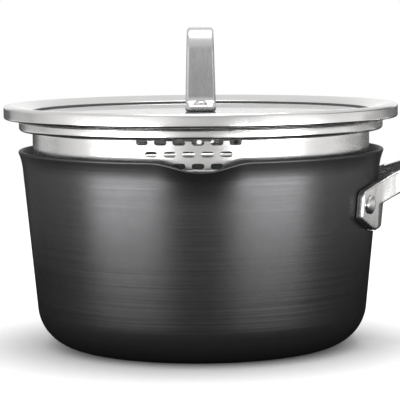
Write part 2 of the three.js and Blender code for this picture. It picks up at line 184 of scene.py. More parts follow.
# ---- outlines ----

def arc(x, y, radius, start, end, count):
    """Points on a circle about (x, y), from one angle to another, both ends included."""
    angle = np.linspace(start, end, count)
    return np.stack([x + radius * np.cos(angle), y + radius * np.sin(angle)], axis=1)


def rounded(corners, step=math.radians(7)):
    """A line through (x, y, radius) corners, each replaced by an arc tangent to both of its sides.

    The arc's centre lies on the corner's bisector, radius / sin(half the corner's angle) away.
    """
    line = []
    last = len(corners) - 1
    for i, (x, y, radius) in enumerate(corners):
        corner = np.array([x, y], dtype=float)
        if radius == 0 or i in (0, last):
            line.append(corner[None])
            continue
        back = np.array(corners[i - 1][:2]) - corner
        ahead = np.array(corners[i + 1][:2]) - corner
        back /= np.linalg.norm(back)
        ahead /= np.linalg.norm(ahead)
        half = math.acos(float(np.clip(back @ ahead, -1, 1))) / 2
        bisector = (back + ahead) / np.linalg.norm(back + ahead)
        centre = corner + bisector * radius / math.sin(half)
        start = corner + back * radius / math.tan(half) - centre
        end = corner + ahead * radius / math.tan(half) - centre
        first = math.atan2(start[1], start[0])
        turn = (math.atan2(end[1], end[0]) - first + math.pi) % TAU - math.pi
        count = max(3, int(abs(turn) / step) + 2)
        line.append(arc(centre[0], centre[1], radius, first, first + turn, count))
    return np.concatenate(line)


def side_normals(line, closed=False):
    """Unit normals on the right of a line, each the mean of the normals of the two segments that meet."""
    if closed:
        segments = np.roll(line, -1, axis=0) - line
        before = np.roll(segments, 1, axis=0)
    else:
        segments = np.diff(line, axis=0)
        before = np.concatenate([segments[:1], segments])
        segments = np.concatenate([segments, segments[-1:]])
    after = segments / np.linalg.norm(segments, axis=1)[:, None]
    mean = after + before / np.linalg.norm(before, axis=1)[:, None]
    mean /= np.linalg.norm(mean, axis=1)[:, None]
    return np.stack([mean[:, 1], -mean[:, 0]], axis=1)


def strip(line, thickness):
    """The closed outline of a sheet of even thickness on the right of a line, with half-round edges."""
    offset = line + side_normals(line) * thickness
    caps = []
    for a, b in ((line[-1], offset[-1]), (offset[0], line[0])):
        middle = (a + b) / 2
        first = math.atan2(a[1] - middle[1], a[0] - middle[0])
        caps.append(arc(middle[0], middle[1], thickness / 2, first, first - math.pi, 7)[1:-1])
    return np.concatenate([line, caps[0], offset[::-1], caps[1]])


def length_along(line):
    """The distance along a line to each of its points."""
    return np.concatenate([[0], np.cumsum(np.hypot(*np.diff(line, axis=0).T))])


def beside(line, s, w):
    """The two coordinates of the places at length s along a line and w off it, along its normals."""
    length = length_along(line)
    normals = side_normals(line)
    return [np.interp(s, length, line[:, i]) + w * np.interp(s, length, normals[:, i]) for i in (0, 1)]


def even_line(line, spacing, closed=False):
    """A line with its points moved to about even spacing along it."""
    if closed:
        line = np.concatenate([line, line[:1]])
    length = length_along(line)
    at = np.linspace(0, length[-1], max(2, int(length[-1] / spacing) + 1))
    even = np.column_stack([np.interp(at, length, line[:, 0]), np.interp(at, length, line[:, 1])])
    return even[:-1] if closed else even


def rounded_bar(length, width, steps=11):
    """A stadium: two half circles joined by straight sides."""
    reach = (length - width) / 2
    return np.concatenate([
        arc(reach, 0, width / 2, -np.pi / 2, np.pi / 2, steps),
        arc(-reach, 0, width / 2, np.pi / 2, 1.5 * np.pi, steps),
    ])


# ---- meshes ----

def outward(points, faces):
    """The faces, all turned round if the volume that they enclose comes out negative."""
    volume = 0.0
    for block in faces:
        a = points[block[:, 0]]
        for i in range(1, block.shape[1] - 1):
            volume += np.einsum("ij,ij->", a, np.cross(points[block[:, i]], points[block[:, i + 1]]))
    return faces if volume > 0 else [block[:, ::-1] for block in faces]


def grid_faces(rows, columns, wrap_rows=False):
    """Quads between neighbouring points of a grid whose columns always close on themselves."""
    row = np.arange(rows if wrap_rows else rows - 1)[:, None]
    column = np.arange(columns)[None, :]
    above = (row + 1) % rows
    beside = (column + 1) % columns
    row, above = row * columns, above * columns
    corners = (row + column, row + beside, above + beside, above + column)
    return np.stack([np.broadcast_to(corner, (row.size, columns)).ravel() for corner in corners], axis=1)


def revolve(profile, turns=288):
    """A profile of (radius, height) points turned about Z: (r cos t, r sin t, z) for t round the circle.

    A profile from the axis back to the axis is closed by fans at its ends, and any other closes on itself.
    """
    capped = profile[0, 0] < TINY and profile[-1, 0] < TINY
    line = profile[1:-1] if capped else profile
    angle = np.arange(turns) * TAU / turns
    radius = line[:, 0][:, None]
    height = np.broadcast_to(line[:, 1][:, None], (len(line), turns))
    points = np.stack([radius * np.cos(angle), radius * np.sin(angle), height], axis=2).reshape(-1, 3)
    faces = [grid_faces(len(line), turns, wrap_rows=not capped)]
    if capped:
        first, last = len(points), len(points) + 1
        points = np.concatenate([points, [[0, 0, profile[0, 1]], [0, 0, profile[-1, 1]]]])
        column = np.arange(turns)
        beside = (column + 1) % turns
        top = (len(line) - 1) * turns
        faces.append(np.stack([np.full(turns, first), beside, column], axis=1))
        faces.append(np.stack([np.full(turns, last), top + column, top + beside], axis=1))
    return points, outward(points, faces)


def inside(points, loops):
    """Which points lie inside the outlines, by counting the sides that a line to the right crosses."""
    crossings = np.zeros(len(points), dtype=int)
    x, y = points[:, 0][:, None], points[:, 1][:, None]
    for loop in loops:
        ax, ay = loop[:, 0], loop[:, 1]
        bx, by = np.roll(ax, -1), np.roll(ay, -1)
        spans = (ay > y) != (by > y)
        rise = np.where(by == ay, 1, by - ay)
        crossings += (spans & (x < ax + (y - ay) * (bx - ax) / rise)).sum(axis=1)
    return crossings % 2 == 1


def counter_clockwise(loop, wanted=True):
    """The loop, turned round if needed so that its signed area is positive, or negative for a hole."""
    area = np.sum(loop[:, 0] * np.roll(loop[:, 1], -1) - np.roll(loop[:, 0], -1) * loop[:, 1])
    return loop if (area > 0) == wanted else loop[::-1]


def plate(outline, thickness, edge, lines_u, lines_v, holes=(), edge_steps=4):
    """A flat plate with rounded edges, as (u, v, w) points with w from 0 to its thickness.

    Each outline is carried round its own edge: inset edge (1 - sin a) and height edge (1 - cos a) from each
    face. The two faces are the same triangles between the inset outlines and the crossings of the lines, less
    the crossings that lie too near an outline.
    """
    loops = [counter_clockwise(np.asarray(outline, dtype=float))]
    loops += [counter_clockwise(np.asarray(hole, dtype=float), wanted=False) for hole in holes]
    if edge > 0:
        angle = np.linspace(0, np.pi / 2, edge_steps + 1)
        inset = edge * (1 - np.sin(angle))
        height = edge * (1 - np.cos(angle))
        inset = np.concatenate([inset, inset[::-1]])
        height = np.concatenate([height, thickness - height[::-1]])
    else:
        inset = np.zeros(2)
        height = np.array([0.0, thickness])
    flat = np.concatenate(loops)
    normal = np.concatenate([side_normals(loop, closed=True) for loop in loops])
    rings = [np.column_stack([flat - normal * d, np.full(len(flat), w)]) for d, w in zip(inset, height)]
    face_loops = [loop - side_normals(loop, closed=True) * inset[0] for loop in loops]
    rim = np.concatenate(face_loops)

    grid = np.stack(np.meshgrid(lines_u, lines_v, indexing="ij"), axis=2).reshape(-1, 2)
    grid = grid[inside(grid, face_loops)]
    spacing = min(np.median(np.diff(np.unique(lines))) for lines in (lines_u, lines_v))
    apart = np.hypot(grid[:, None, 0] - rim[:, 0], grid[:, None, 1] - rim[:, 1]).min(axis=1)
    grid = grid[apart > 0.3 * spacing]

    sides = []
    start = 0
    for loop in loops:
        index = start + np.arange(len(loop))
        sides.append(np.stack([index, np.roll(index, -1)], axis=1))
        start += len(loop)
    sides = np.concatenate(sides)
    flat_points = np.concatenate([rim, grid])
    made = delaunay_2d_cdt([Vector(point) for point in flat_points.tolist()], sides.tolist(), [], 0, 1e-5)
    source = np.array([origin[0] for origin in made[3]])
    triangles = source[np.array(made[2])]
    triangles = triangles[inside(flat_points[triangles].mean(axis=1), face_loops)]
    a, b, c = (flat_points[triangles[:, i]] for i in range(3))
    area = (b - a)[:, 0] * (c - a)[:, 1] - (b - a)[:, 1] * (c - a)[:, 0]
    triangles[area < 0] = triangles[area < 0][:, ::-1]

    count = len(rim)
    levels = len(rings)
    bottom_grid = levels * count
    top_grid = bottom_grid + len(grid)
    bottom = np.where(triangles < count, triangles, triangles - count + bottom_grid)
    top = np.where(triangles < count, triangles + (levels - 1) * count, triangles - count + top_grid)
    level = np.arange(levels - 1)[:, None] * count
    near, far = sides[:, 0][None], sides[:, 1][None]
    walls = np.stack([level + near, level + far, level + count + far, level + count + near], axis=2)
    points = np.concatenate([
        *rings,
        np.column_stack([grid, np.zeros(len(grid))]),
        np.column_stack([grid, np.full(len(grid), thickness)]),
    ])
    return points, [walls.reshape(-1, 4), bottom[:, ::-1], top]


def placed(solid, place):
    """A solid with its points moved by a function, and its faces outward again."""
    points, faces = solid
    points = place(points)
    return points, outward(points, faces)


def make_piece(node, look, slot, body, *solids):
    """The fine piece of a node from closed solids, each a pair of points in millimetres and blocks of faces.

    It gets its material and its body, and the node that it stands for is hidden. The slot is not used.
    """
    name = node + "_fine"
    crease = math.radians(38)
    mesh = bpy.data.meshes.new(name)
    starts = np.cumsum([0] + [len(points) for points, _ in solids])
    points = np.concatenate([points for points, _ in solids])
    blocks = [block + start for (_, faces), start in zip(solids, starts) for block in faces]
    faces = [face for block in blocks for face in block.tolist()]
    mesh.from_pydata((points * MM).tolist(), [], faces)
    mesh.shade_smooth()
    mesh.set_sharp_from_angle(angle=crease)
    mesh.materials.append(look)
    piece = bpy.data.objects.new(name, mesh)
    bpy.context.scene.collection.objects.link(piece)
    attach(piece, body)
    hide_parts(node)


# ---- materials ----

BUMP_DEPTH = 0.0001


def linear(color):
    """An sRGB hex colour such as #3a3a3c as linear RGBA."""
    channels = [int(color[i:i + 2], 16) / 255 for i in (1, 3, 5)]
    return [c / 12.92 if c <= 0.04045 else ((c + 0.055) / 1.055) ** 2.4 for c in channels] + [1.0]


def add(tree, kind, inputs=None, **settings):
    """Adds a node. An input that is given a socket is linked to it, and any other value is set."""
    made = tree.nodes.new(kind)
    for key, value in settings.items():
        setattr(made, key, value)
    for key, value in (inputs or {}).items():
        if isinstance(value, bpy.types.NodeSocket):
            tree.links.new(value, made.inputs[key])
        else:
            made.inputs[key].default_value = value
    return made


def grey(level):
    """A neutral RGBA colour of that brightness."""
    return (level, level, level, 1.0)


def new_material(name):
    """An empty material and its node tree."""
    look = bpy.data.materials.new(name)
    look.use_nodes = True
    look.node_tree.nodes.clear()
    return look, look.node_tree


def close(tree, shader):
    """Ends a material's tree in a shader."""
    add(tree, "ShaderNodeOutputMaterial", {"Surface": shader.outputs[0]})


def hard_anodised_aluminium():
    """Hard-anodised aluminium: a dark grey oxide skin over a spun and blasted wall.

    The oxide is satin, so lamps show as soft upright bands. Its grey tint keeps the wall's sides dark, where
    bare metal would flare. Fine turning lines run round the wall, about 0.8 mm apart, drawn coarser than the
    real ones so that they show, with a faint mottle of 6 mm patches and a grit of 0.4 mm.
    """
    look, tree = new_material("hard_anodised_aluminium")
    place = add(tree, "ShaderNodeTexCoord").outputs["Object"]
    lines_place = add(tree, "ShaderNodeMapping", {"Vector": place, "Scale": (8.0, 8.0, 1200.0)})
    lines = add(tree, "ShaderNodeTexNoise", {
        "Vector": lines_place.outputs["Vector"],
        "Scale": 1.0,
        "Detail": 3.0,
        "Roughness": 0.6,
    })
    mottle = add(tree, "ShaderNodeTexNoise", {"Vector": place, "Scale": 160.0, "Detail": 3.0})
    grit = add(tree, "ShaderNodeTexNoise", {"Vector": place, "Scale": 2500.0, "Detail": 2.0})
    color = add(tree, "ShaderNodeMix", {
        "Factor": mottle.outputs["Fac"],
        "A": linear("#4d4d4e"),
        "B": linear("#555556"),
    }, data_type="RGBA")
    rough = add(tree, "ShaderNodeMapRange", {
        "Value": lines.outputs["Fac"],
        "From Min": 0.3,
        "From Max": 0.7,
        "To Min": 0.29,
        "To Max": 0.39,
    })
    relief = add(tree, "ShaderNodeMath", {0: lines.outputs["Fac"], 1: grit.outputs["Fac"]}, operation="ADD")
    bump = add(tree, "ShaderNodeBump", {
        "Height": relief.outputs[0],
        "Strength": 0.12,
        "Distance": BUMP_DEPTH,
    })
    close(tree, add(tree, "ShaderNodeBsdfPrincipled", {
        "Base Color": color.outputs["Result"],
        "Metallic": 0.85,
        "Specular Tint": linear("#a2a2a2"),
        "Roughness": rough.outputs["Result"],
        "Normal": bump.outputs["Normal"],
    }))
    return look


def stainless(name, color, low, high, grain, stretch, strength):
    """A stainless steel finish whose grain is noise stretched along one direction.

    grain is the number of lines in a metre across them, and stretch scales the pattern along X, Y and Z. The
    grain blurs and stripes what the steel mirrors, and smudges of 20 mm make that uneven.
    """
    look, tree = new_material(name)
    place = add(tree, "ShaderNodeTexCoord").outputs["Object"]
    along = add(tree, "ShaderNodeMapping", {"Vector": place, "Scale": stretch})
    lines = add(tree, "ShaderNodeTexNoise", {
        "Vector": along.outputs["Vector"],
        "Scale": grain,
        "Detail": 4.0,
        "Roughness": 0.65,
    })
    smudge = add(tree, "ShaderNodeTexNoise", {"Vector": place, "Scale": 45.0, "Detail": 2.0})
    mixed = add(tree, "ShaderNodeMath", {
        0: lines.outputs["Fac"],
        1: smudge.outputs["Fac"],
    }, operation="MULTIPLY")
    rough = add(tree, "ShaderNodeMapRange", {
        "Value": mixed.outputs[0],
        "From Min": 0.12,
        "From Max": 0.4,
        "To Min": low,
        "To Max": high,
    })
    bump = add(tree, "ShaderNodeBump", {
        "Height": lines.outputs["Fac"],
        "Strength": strength,
        "Distance": BUMP_DEPTH,
    })
    close(tree, add(tree, "ShaderNodeBsdfPrincipled", {
        "Base Color": linear(color),
        "Metallic": 1.0,
        "Roughness": rough.outputs["Result"],
        "Normal": bump.outputs["Normal"],
    }))
    return look


def tempered_glass():
    """Tempered soda-lime glass, clear with the faint green of its iron: IOR 1.52, polished on both faces.

    It lets the lamps' light through, so that the inside of the pan is lit.
    """
    look, tree = new_material("tempered_glass")
    glass = add(tree, "ShaderNodeBsdfPrincipled", {
        "Base Color": linear("#f4faf6"),
        "Metallic": 0.0,
        "Roughness": 0.02,
        "IOR": 1.52,
        "Transmission Weight": 1.0,
    })
    passed = add(tree, "ShaderNodeBsdfTransparent", {"Color": linear("#e8f0ea")})
    lit = add(tree, "ShaderNodeLightPath").outputs["Is Shadow Ray"]
    close(tree, add(tree, "ShaderNodeMixShader", {
        0: lit,
        1: glass.outputs["BSDF"],
        2: passed.outputs["BSDF"],
    }))
    return look


def silicone_rubber():
    """Moulded silicone rubber: mid grey and matte, with a fine grain of 0.3 mm that dulls its gloss."""
    look, tree = new_material("silicone_rubber")
    place = add(tree, "ShaderNodeTexCoord").outputs["Object"]
    grain = add(tree, "ShaderNodeTexNoise", {"Vector": place, "Scale": 3000.0, "Detail": 2.0})
    rough = add(tree, "ShaderNodeMapRange", {"Value": grain.outputs["Fac"], "To Min": 0.5, "To Max": 0.7})
    bump = add(tree, "ShaderNodeBump", {
        "Height": grain.outputs["Fac"],
        "Strength": 0.2,
        "Distance": BUMP_DEPTH,
    })
    close(tree, add(tree, "ShaderNodeBsdfPrincipled", {
        "Base Color": linear("#77797b"),
        "Roughness": rough.outputs["Result"],
        "IOR": 1.41,
        "Normal": bump.outputs["Normal"],
    }))
    return look


ANODISED = hard_anodised_aluminium()
BRUSHED_ALONG = stainless("stainless_brushed_lengthwise", "#d2d1d0", 0.2, 0.32, 1000.0, (0.03, 1.0, 1.0), 0.1)
BRUSHED_ROUND = stainless("stainless_spun_satin", "#dcdbda", 0.18, 0.3, 1200.0, (0.05, 0.05, 1.0), 0.08)
BRUSHED_RIM = stainless("stainless_satin_rim", "#dcdbda", 0.16, 0.26, 1200.0, (0.05, 0.05, 1.0), 0.05)
BRUSHED_UP = stainless("stainless_brushed_strap", "#c9c8c9", 0.22, 0.34, 1200.0, (1.0, 1.0, 0.03), 0.1)
POLISHED = stainless("stainless_polished", "#dad9d8", 0.06, 0.14, 300.0, (1.0, 1.0, 1.0), 0.02)
GLASS = tempered_glass()
SILICONE = silicone_rubber()


# ---- pan ----

FLARE_START = PAN_HEIGHT - FLARE_HEIGHT


def wall_radius(z):
    """The straight wall's outer radius, leaning out by a fixed angle."""
    return LIP_RADIUS - LIP_REACH + (z - FLARE_START) * math.tan(WALL_LEAN)


def outer_radius(z):
    """The wall's outer radius, with a flare that grows as the square of the height above its start."""
    rise = np.maximum(z - FLARE_START, 0) / FLARE_HEIGHT
    return wall_radius(z) + (LIP_RADIUS - wall_radius(PAN_HEIGHT)) * rise ** 2


def inner_radius(z):
    """The wall's inner radius, one wall thickness in."""
    return outer_radius(z) - WALL / math.cos(WALL_LEAN)


def pan_profile():
    """Half of the pan's section, from the base's middle round the lip to the floor's middle."""
    lip_rounding = 1.1
    floor_rings = 9
    corner_x = wall_radius(CORNER_RADIUS) - CORNER_RADIUS / math.cos(WALL_LEAN)
    wall_z = np.linspace(CORNER_RADIUS + WALL, PAN_HEIGHT - 2 * lip_rounding, 60)
    lip = rounded([
        (outer_radius(wall_z[-1]), wall_z[-1], 0),
        (LIP_RADIUS, PAN_HEIGHT, lip_rounding),
        (LIP_RADIUS - WALL, PAN_HEIGHT, lip_rounding),
        (inner_radius(wall_z[-1]), wall_z[-1], 0),
    ], step=math.radians(20))
    outer_corner = arc(corner_x, CORNER_RADIUS, CORNER_RADIUS, -np.pi / 2, -WALL_LEAN, 24)
    inner_corner = arc(corner_x, CORNER_RADIUS, CORNER_RADIUS - WALL, -WALL_LEAN, -np.pi / 2, 24)
    share = np.clip((CORNER_RADIUS - inner_corner[:, 1]) / (CORNER_RADIUS - WALL), 0, 1)
    inner_corner[:, 1] += (BASE_THICKNESS - WALL) * share
    floor_x = np.linspace(corner_x, 0, floor_rings + 1)[1:]
    return np.concatenate([
        np.column_stack([floor_x[::-1], np.zeros(floor_rings)]),
        outer_corner,
        np.column_stack([outer_radius(wall_z[:-1]), wall_z[:-1]]),
        lip,
        np.column_stack([inner_radius(wall_z[:-1]), wall_z[:-1]])[::-1],
        inner_corner,
        np.column_stack([floor_x, np.full(floor_rings, BASE_THICKNESS)]),
    ])


def shape_spouts(points):
    """Pulls the lip out and down at the spouts: by (cos(pi x / 2 h) t) squared, t the share of the fade."""
    x, y, z = points.T
    across = np.clip(np.abs(x) / SPOUT_HALF_WIDTH, 0, 1)
    up = np.clip((z - (PAN_HEIGHT - SPOUT_FADE)) / SPOUT_FADE, 0, 1)
    share = np.cos(across * np.pi / 2) ** 2 * up ** 2
    radius = np.maximum(np.hypot(x, y), 1)
    stretch = 1 + SPOUT_PULL * share / radius
    return np.column_stack([x * stretch, y * stretch, z - SPOUT_DIP * share])


def pan_body():
    """The wall and base, turned as one and then given their spouts."""
    points, faces = revolve(pan_profile(), turns=360)
    make_piece("pan_body", ANODISED, "anodised_aluminium", "pan", (shape_spouts(points), faces))


# ---- handle ----

HANDLE_TIP = HANDLE_HIGH[0]
LEG_ROOT_X = wall_radius(RIVET_HEIGHT)
LEG_SLOPE = math.tan(LEG_CONVERGENCE)
LEG_END_X = LEG_ROOT_X + (LEG_START - LEG_END) / LEG_SLOPE
LEG_INSET = LEG_THICKNESS / math.cos(LEG_CONVERGENCE)


def spine_height(x):
    """The handle's middle height: h0 + rise (1 - exp(-run / length)) + slope run."""
    run = x - LEG_ROOT_X
    return LEG_ROOT_HEIGHT + HANDLE_RISE * (1 - np.exp(-run / HANDLE_RISE_LENGTH)) + GRIP_SLOPE * run


def handle_thickness(x):
    """The handle's height: the leg's until it starts to narrow, then smoothly down to the grip's."""
    share = np.clip((x - LEG_ROOT_X) / (LEG_END_X - LEG_ROOT_X), 0, 1)
    return LEG_HEIGHT + (GRIP_THICKNESS - LEG_HEIGHT) * share ** 2 * (3 - 2 * share)


def leg_face(x):
    """How far a leg's outer face lies from the handle's middle."""
    return LEG_START - (x - LEG_ROOT_X) * LEG_SLOPE


def handle_outline():
    """The legs and the grip from above. The legs start inside the straps, and the tip is round."""
    neck_x = LEG_END_X + NECK_LENGTH
    tip_radius = GRIP_END_WIDTH / 2
    start_x = LEG_ROOT_X - 3
    covered_x = LEG_ROOT_X + 6
    bare_x = LEG_ROOT_X + 13
    side = rounded([
        (start_x, leg_face(start_x) - 2.0, 0),
        (covered_x, leg_face(covered_x) - 0.4, 30),
        (bare_x, leg_face(bare_x), 40),
        (LEG_END_X + 4, GRIP_WIDTH / 2 + 1, 30),
        (neck_x, GRIP_WIDTH / 2, 0),
        (HANDLE_TIP - 1.8 * tip_radius, tip_radius, 60),
        (HANDLE_TIP - tip_radius, tip_radius, 0),
    ])[:-1]
    tip = arc(HANDLE_TIP - tip_radius, 0, tip_radius, np.pi / 2, -np.pi / 2, 40)
    apex_x = LEG_END_X + (LEG_END - LEG_INSET) / LEG_SLOPE
    inner_x = start_x - 2.2
    inner_y = leg_face(inner_x) - LEG_INSET
    fork = rounded([(inner_x, -inner_y, 0), (apex_x, 0, FORK_ROUNDING), (inner_x, inner_y, 0)])
    return even_line(np.concatenate([side, tip, side[::-1] * [1, -1], fork]), 1.6, closed=True)


def handle_eye():
    """The long hole near the grip's tip."""
    return rounded_bar(EYE_LENGTH, EYE_WIDTH, steps=18) + [HANDLE_TIP - EYE_MARGIN - EYE_LENGTH / 2, 0]


def handle_arm():
    """The legs and the grip: a plate with w carried to spine(x) + (w / T - 1/2) thickness(x), crowned."""
    crown = 0.9
    crown_start = 40.0

    def place(points):
        x, y, w = points.T
        share = w / GRIP_THICKNESS
        across = np.clip(1 - (2 * y / GRIP_WIDTH) ** 2, 0, 1)
        lift = crown * across * share * np.clip((x - LEG_END_X) / crown_start, 0, 1)
        return np.column_stack([x, y, spine_height(x) + (share - 0.5) * handle_thickness(x) + lift])

    lines_u = np.arange(LEG_ROOT_X - 8, HANDLE_TIP, 2.2)
    lines_v = np.arange(-50.0, 50.1, 2.0)
    holes = [handle_eye()]
    shape = plate(handle_outline(), GRIP_THICKNESS, HANDLE_EDGE, lines_u, lines_v, holes, edge_steps=5)
    return placed(shape, place)


def strap_path():
    """A strap's outer face from above: round the wall from the wing's tip, then a bend into the straight leg.

    The bend is a quadratic curve about the point where the two faces would meet. The length to that point and
    its angle round the pan come with the path.
    """
    overrun = math.radians(2.6)
    bend_reach = 5.0
    leg_reach = 14.0
    radius = LEG_ROOT_X + GAP + FOOT_THICKNESS
    direction = np.array([math.cos(LEG_CONVERGENCE), -math.sin(LEG_CONVERGENCE)])
    root = np.array([LEG_ROOT_X, LEG_START])
    along = root @ direction
    meet = root - direction * (along - math.sqrt(along ** 2 - root @ root + radius ** 2))
    corner_angle = math.atan2(meet[1], meet[0])
    tip_angle = math.asin(FOOT_HALF_WIDTH / radius)
    wing = arc(0, 0, radius, tip_angle, corner_angle + overrun, 16)
    t = np.linspace(0, 1, 12)[1:, None]
    bend = (1 - t) ** 2 * wing[-1] + 2 * t * (1 - t) * meet + t ** 2 * (meet + direction * bend_reach)
    leg = bend[-1] + direction * np.linspace(0, leg_reach, 15)[1:, None]
    fold = radius * (tip_angle - corner_angle)
    return np.concatenate([wing, bend, leg]), fold, corner_angle


def strap(side):
    """A wing riveted to the wall, which bends into the leg: a plate in (path length, height), w outward.

    Its point is path(s) + normal(s) (T + dive(s) - w), leaned with the wall along the wing. The dive sinks
    its end into the leg.
    """
    path, fold, _ = strap_path()
    length = length_along(path)
    total = length[-1]
    blend = 12.0
    dive_depth = 0.7

    def middle(s):
        return spine_height(np.interp(s, length, path[:, 0]))

    leg = np.linspace(fold + 2.5, total - 5, 10)
    leg_bottom = np.column_stack([leg, middle(leg) - LEG_HEIGHT / 2, np.zeros(10)])
    leg_top = np.column_stack([leg, middle(leg) + LEG_HEIGHT / 2, np.zeros(10)])[::-1]
    chamfer_end = fold + 1.0
    outline = rounded([
        (fold / 2, FOOT_BOTTOM + FOOT_CORNER_HEIGHT / 2, 0),
        (chamfer_end, FOOT_BOTTOM, 2.0),
        (chamfer_end, middle(chamfer_end) - LEG_HEIGHT / 2, 1.5),
        *leg_bottom.tolist(),
        (total, middle(total) - 2, 0),
        (total, middle(total) + 2, 0),
        *leg_top.tolist(),
        (fold, middle(fold) + LEG_HEIGHT / 2 + 0.3, 12),
        (0, FOOT_WING_TOP, 3.5),
        (0, FOOT_BOTTOM + FOOT_CORNER_HEIGHT, 2.5),
        (fold / 2, FOOT_BOTTOM + FOOT_CORNER_HEIGHT / 2, 0),
    ])[:-1]

    def place(points):
        s, z, w = points.T
        dive = dive_depth * np.clip((s - total + blend) / blend, 0, 1) ** 2
        offset = FOOT_THICKNESS - w + dive
        lean = (z - RIVET_HEIGHT) * math.tan(WALL_LEAN) * np.clip((fold + 8 - s) / blend, 0, 1)
        x, y = beside(path, s, offset - lean)
        return np.column_stack([x, side * y, z])

    lines_u = np.arange(1.5, total, 1.5)
    lines_v = np.arange(FOOT_BOTTOM, FOOT_BOTTOM + 60, 1.6)
    outline = even_line(outline, 1.0, closed=True)
    shape = plate(outline, FOOT_THICKNESS, STRAP_EDGE, lines_u, lines_v, edge_steps=5)
    return placed(shape, place)


def foot_middle():
    """The foot between its wings: a thinner plate bent round the leaning wall, w outward from its face."""
    _, _, corner_angle = strap_path()
    half = corner_angle * LEG_ROOT_X
    shoulder = FOOT_MIDDLE_TOP + 4
    side = [
        (half, FOOT_BOTTOM, 0),
        (half, shoulder, 0),
        (half - 6, shoulder, 3),
        (half - 12, FOOT_MIDDLE_TOP, 4),
    ]
    start = (0, FOOT_BOTTOM, 0)
    outline = rounded([start, *side, *((-x, z, radius) for x, z, radius in side[::-1]), start])[:-1]
    thickness = FOOT_THICKNESS - FOOT_MIDDLE_THINNING

    def place(points):
        along, z, w = points.T
        angle = along / LEG_ROOT_X
        radius = wall_radius(z) + GAP + w
        return np.column_stack([radius * np.cos(angle), radius * np.sin(angle), z])

    lines_u = np.arange(-62.0, 62.1, 2.0)
    lines_v = np.arange(FOOT_BOTTOM, FOOT_BOTTOM + 40, 2.0)
    shape = plate(even_line(outline, 1.5, closed=True), thickness, 1.0, lines_u, lines_v, edge_steps=5)
    return placed(shape, place)


def handle():
    """The cast handle: arm, foot and the straps between them, which lie into each other."""
    solids = handle_arm(), foot_middle(), strap(-1), strap(1)
    make_piece("handle", BRUSHED_ALONG, "brushed_steel", "pan", *solids)


def dome(radius, seat, height, flat=0.0):
    """A low dome's profile from its edge to the axis: an elliptic arc on a short straight side."""
    angle = np.linspace(0, np.pi / 2, 12)
    straight = math.copysign(flat, height)
    rise = seat + straight + (height - straight) * np.sin(angle)
    return np.concatenate([[[radius, seat]], np.column_stack([radius * np.cos(angle), rise])])


def rivet(node, side):
    """A rivet along its own axis, then leaned with the wall and turned round the pan."""
    head_seat = GAP + FOOT_THICKNESS + TOUCH
    tail_seat = -WALL - GAP
    profile = np.concatenate([
        dome(RIVET_TAIL_RADIUS, tail_seat, -RIVET_TAIL_HEIGHT, 0.4)[::-1],
        [[RIVET_SHANK_RADIUS, tail_seat], [RIVET_SHANK_RADIUS, head_seat]],
        dome(RIVET_HEAD_RADIUS, head_seat, RIVET_HEAD_HEIGHT, 0.7),
    ])
    profile[0, 0] = profile[-1, 0] = 0
    lean = np.pi / 2 + WALL_LEAN
    turn = side * RIVET_ANGLE

    def place(points):
        x, y, z = points.T
        out = x * math.cos(lean) + z * math.sin(lean) + wall_radius(RIVET_HEIGHT)
        up = -x * math.sin(lean) + z * math.cos(lean) + RIVET_HEIGHT
        return np.column_stack([
            out * math.cos(turn) - y * math.sin(turn),
            out * math.sin(turn) + y * math.cos(turn),
            up,
        ])

    make_piece(node, BRUSHED_ALONG, "polished_steel", "pan", placed(revolve(profile, turns=64), place))


# ---- lid ----

SKIRT_RADIUS = inner_radius(FLARE_START) - SKIRT_CLEARANCE
SHOULDER_RADIUS = BAND_HIGH[0]


def lid_rim():
    """The rim's sheet: dished down to the glass, rolled over at its edge and turned in below."""
    radius = RIM_HIGH[0]
    crest = RIM_HIGH[2]
    bottom = crest - RIM_BAND_HEIGHT
    line = rounded([
        (OPENING_RADIUS, OPENING_UNDERSIDE + RIM_SHEET, 0),
        (RIM_CREST_RADIUS, crest, RIM_CREST_ROUNDING),
        (radius, crest, RIM_ROLL),
        (radius, bottom, RIM_LOWER_ROLL),
        (SEAL_HIGH[0] + 2 * GAP, BAND_HIGH[2] + GAP, 0),
    ])
    make_piece("lid_rim", BRUSHED_RIM, "polished_steel", "lid", revolve(strip(line, RIM_SHEET), turns=360))


def glass_seal():
    """The silicone channel round the glass, with rounded lips."""
    outer, inner = SEAL_HIGH[0], OPENING_RADIUS - SEAL_SHOW
    wall = outer - SEAL_WALL
    bottom, middle = SEAL_LOW[2], (SEAL_LOW[2] + SEAL_HIGH[2]) / 2
    floor = GLASS_LOW[2] - 0.03
    roof = GLASS_TOP + SEAL_SLACK
    top = roof + SEAL_LIP
    lip = 0.15
    inside_corner = 0.3
    profile = rounded([
        (outer, middle, 0),
        (outer, top, lip),
        (inner, top, lip),
        (inner, roof, lip),
        (wall, roof, inside_corner),
        (wall, floor, inside_corner),
        (inner, floor, 0.2),
        (inner, bottom, 0.35),
        (outer, bottom, 0.5),
        (outer, middle, 0),
    ], step=math.radians(30))[:-1]
    make_piece("glass_seal", SILICONE, "silicone", "lid_carrier", revolve(profile))


def glass_panel():
    """The glass disc, with its edge ground round."""
    radius, low, high = GLASS_HIGH[0], GLASS_LOW[2], GLASS_TOP
    profile = rounded([
        (0, low, 0),
        (radius, low, GLASS_EDGE_ROUNDING),
        (radius, high, GLASS_EDGE_ROUNDING),
        (0, high, 0),
    ], step=math.radians(20))
    rings = 11
    spokes = np.linspace(0, radius - 1, rings + 1)[1:]
    low_line = np.column_stack([spokes, np.full(rings, low)])
    high_line = np.column_stack([spokes[::-1], np.full(rings, high)])
    profile = np.concatenate([profile[:1], low_line, profile[1:-1], high_line, profile[-1:]])
    make_piece("glass_panel", GLASS, "glass", "lid", revolve(profile))


